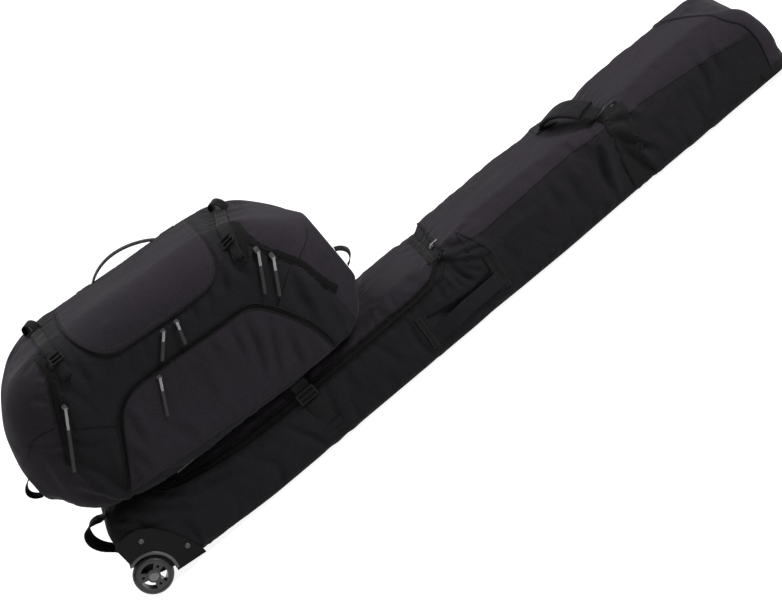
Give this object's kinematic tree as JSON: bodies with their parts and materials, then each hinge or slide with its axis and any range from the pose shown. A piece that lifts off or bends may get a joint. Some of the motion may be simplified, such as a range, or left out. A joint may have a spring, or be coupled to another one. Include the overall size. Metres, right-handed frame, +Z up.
{
  "type": "ski bag",
  "caption": "Wheeled soft ski bag lying on its back, with a zipped lid, carry handles and a boot duffel strapped on top of its wheel end.",
  "frame": {"origin": "on the floor under the middle of the whole bag, duffel included", "axes": "+X from the wheels to the tip, -Y towards the side with the grab handle and the duffel front, +Z up"},
  "size_m": [1.8492, 0.365, 0.5898],
  "materials": {
    "webbing": "ribbed black webbing",
    "body_fabric": "tight plain weave, dull",
    "panel_fabric": "melange plain weave, slightly purplish",
    "lining": "light lining cloth",
    "zip_tape": "herringbone tape with coil teeth",
    "stiffener": "sheet plastic",
    "foam": "closed cell foam",
    "moulded_plastic": "fine moulded texture",
    "buckle_plastic": "smooth moulded plastic",
    "fastener_steel": "dark plated steel",
    "bearing_steel": "bright steel",
    "hub_plastic": "moulded plastic",
    "tyre_rubber": "moulded rubber",
    "slider_metal": "dark coated metal",
    "pull_grip": "moulded grey grip"
  },
  "bodies": {
    "roller": {"roller_shell": "body_fabric", "tray_zip_tape": "zip_tape", "base_board": "stiffener", "floor_pad": "foam", "tail_board": "stiffener", "ski_straps": "webbing", "ski_strap_buckles": "moulded_plastic", "tip_cap": "panel_fabric", "tip_handle": "webbing", "tail_loop": "webbing", "wheel_housing_near": "moulded_plastic", "wheel_housing_far": "moulded_plastic", "housing_rivets": "fastener_steel", "axle_near": "fastener_steel", "axle_far": "fastener_steel", "axle_nuts": "fastener_steel", "side_handle": "body_fabric", "side_handle_patches": "panel_fabric", "carry_straps": "webbing", "carry_handle": "webbing", "carry_grip": "body_fabric", "tie_straps": "webbing", "tie_keepers": "body_fabric", "tie_lock_far": "buckle_plastic"},
    "lid": {"roller_lid": "panel_fabric", "lid_zip_tape": "zip_tape"},
    "zip_slider": {"roller_slider": "slider_metal"},
    "zip_pull": {"roller_pull": "pull_grip"},
    "wheel_near": {"wheel_hub_near": "hub_plastic", "tyre_near": "tyre_rubber", "bearings_near": "bearing_steel"},
    "wheel_far": {"wheel_hub_far": "hub_plastic", "tyre_far": "tyre_rubber", "bearings_far": "bearing_steel"},
    "duffel": {"duffel_shell": "body_fabric", "duffel_base_board": "stiffener", "boot_divider": "lining", "main_zip_tape": "zip_tape", "handle_anchors": "webbing", "end_zip_tapes": "zip_tape", "corner_straps": "webbing", "tri_glides": "buckle_plastic", "haul_loop_right": "webbing", "haul_loop_left": "webbing", "tie_lock_near": "buckle_plastic", "duffel_ties": "webbing", "end_sliders": "slider_metal"},
    "flap": {"duffel_flap": "panel_fabric"},
    "haul_handle": {"duffel_handle": "webbing"},
    "pocket": {"front_pocket": "panel_fabric"},
    "slider_a": {"main_slider_a": "slider_metal"},
    "slider_b": {"main_slider_b": "slider_metal"},
    "pull_a": {"main_pull_a": "pull_grip"},
    "pull_b": {"main_pull_b": "pull_grip"},
    "pocket_zip_slider": {"pocket_slider": "slider_metal"},
    "pocket_zip_pull": {"pocket_pull": "pull_grip"},
    "pull_left": {"end_pull_left": "pull_grip"},
    "pull_right_a": {"end_pull_right_a": "pull_grip"},
    "pull_right_b": {"end_pull_right_b": "pull_grip"}
  },
  "joints": [
    {"name": "wheel_near_spin", "type": "hinge", "parent": "roller", "child": "wheel_near", "pos_m": [-0.8374, -0.11545, 0.045], "axis": [0, 1, 0], "continuous": true},
    {"name": "wheel_far_spin", "type": "hinge", "parent": "roller", "child": "wheel_far", "pos_m": [-0.8374, 0.16255, 0.045], "axis": [0, 1, 0], "continuous": true},
    {"name": "lid_hinge", "type": "hinge", "parent": "roller", "child": "lid", "pos_m": [-0.3274, 0.17355, 0.14], "axis": [-1, 0, 0], "range_deg": [0, 100]},
    {"name": "duffel_lift", "type": "slide", "parent": "lid", "child": "duffel", "axis": [0, 0, 1], "range_m": [0, 0.35]},
    {"name": "flap_hinge", "type": "hinge", "parent": "duffel", "child": "flap", "pos_m": [-0.46692, 0.08155, 0.53898], "axis": [-0.9954, 0, 0.0958], "range_deg": [0, 92]},
    {"name": "haul_handle_swing", "type": "hinge", "parent": "duffel", "child": "haul_handle", "pos_m": [-0.46625, 0.09955, 0.54594], "axis": [-0.9954, 0, 0.0958], "range_deg": [0, 75]},
    {"name": "pocket_hinge", "type": "hinge", "parent": "duffel", "child": "pocket", "pos_m": [-0.4824, -0.16745, 0.213], "axis": [0.9954, 0, -0.0958], "range_deg": [0, 70]},
    {"name": "zip_slider_slide", "type": "slide", "parent": "roller", "child": "zip_slider", "axis": [0, 1, 0], "range_m": [0, 0.15]},
    {"name": "zip_pull_swing", "type": "hinge", "parent": "zip_slider", "child": "zip_pull", "pos_m": [0.0676, -0.04045, 0.187], "axis": [0, -1, 0], "range_deg": [0, 85]},
    {"name": "main_slider_a_slide", "type": "slide", "parent": "duffel", "child": "slider_a", "axis": [-0.9954, 0, 0.0958], "range_m": [0, 0.12]},
    {"name": "main_slider_b_slide", "type": "slide", "parent": "duffel", "child": "slider_b", "axis": [0.9954, 0, -0.0958], "range_m": [0, 0.11]},
    {"name": "main_pull_a_swing", "type": "hinge", "parent": "slider_a", "child": "pull_a", "pos_m": [-0.4694, -0.17345, 0.462], "axis": [0, 1, 0], "range_deg": [-8, 37]},
    {"name": "main_pull_b_swing", "type": "hinge", "parent": "slider_b", "child": "pull_b", "pos_m": [-0.4364, -0.17345, 0.459], "axis": [0, 1, 0], "range_deg": [-79, 0]},
    {"name": "pocket_slider_slide", "type": "slide", "parent": "pocket", "child": "pocket_zip_slider", "axis": [0.9969, 0, -0.0785], "range_m": [-0.03, 0.18]},
    {"name": "pocket_pull_swing", "type": "hinge", "parent": "pocket_zip_slider", "child": "pocket_zip_pull", "pos_m": [-0.5384, -0.17645, 0.392], "axis": [0, 1, 0], "range_deg": [-89, 51]},
    {"name": "end_pull_left_swing", "type": "hinge", "parent": "duffel", "child": "pull_left", "pos_m": [-0.7244, -0.16845, 0.47], "axis": [0, 1, 0], "range_deg": [-55, 45]},
    {"name": "end_pull_right_a_swing", "type": "hinge", "parent": "duffel", "child": "pull_right_a", "pos_m": [-0.2164, -0.16845, 0.462], "axis": [0, 1, 0], "range_deg": [0, 45]},
    {"name": "end_pull_right_b_swing", "type": "hinge", "parent": "duffel", "child": "pull_right_b", "pos_m": [-0.2004, -0.16845, 0.432], "axis": [0, 1, 0], "range_deg": [-80, 0]}
  ]
}
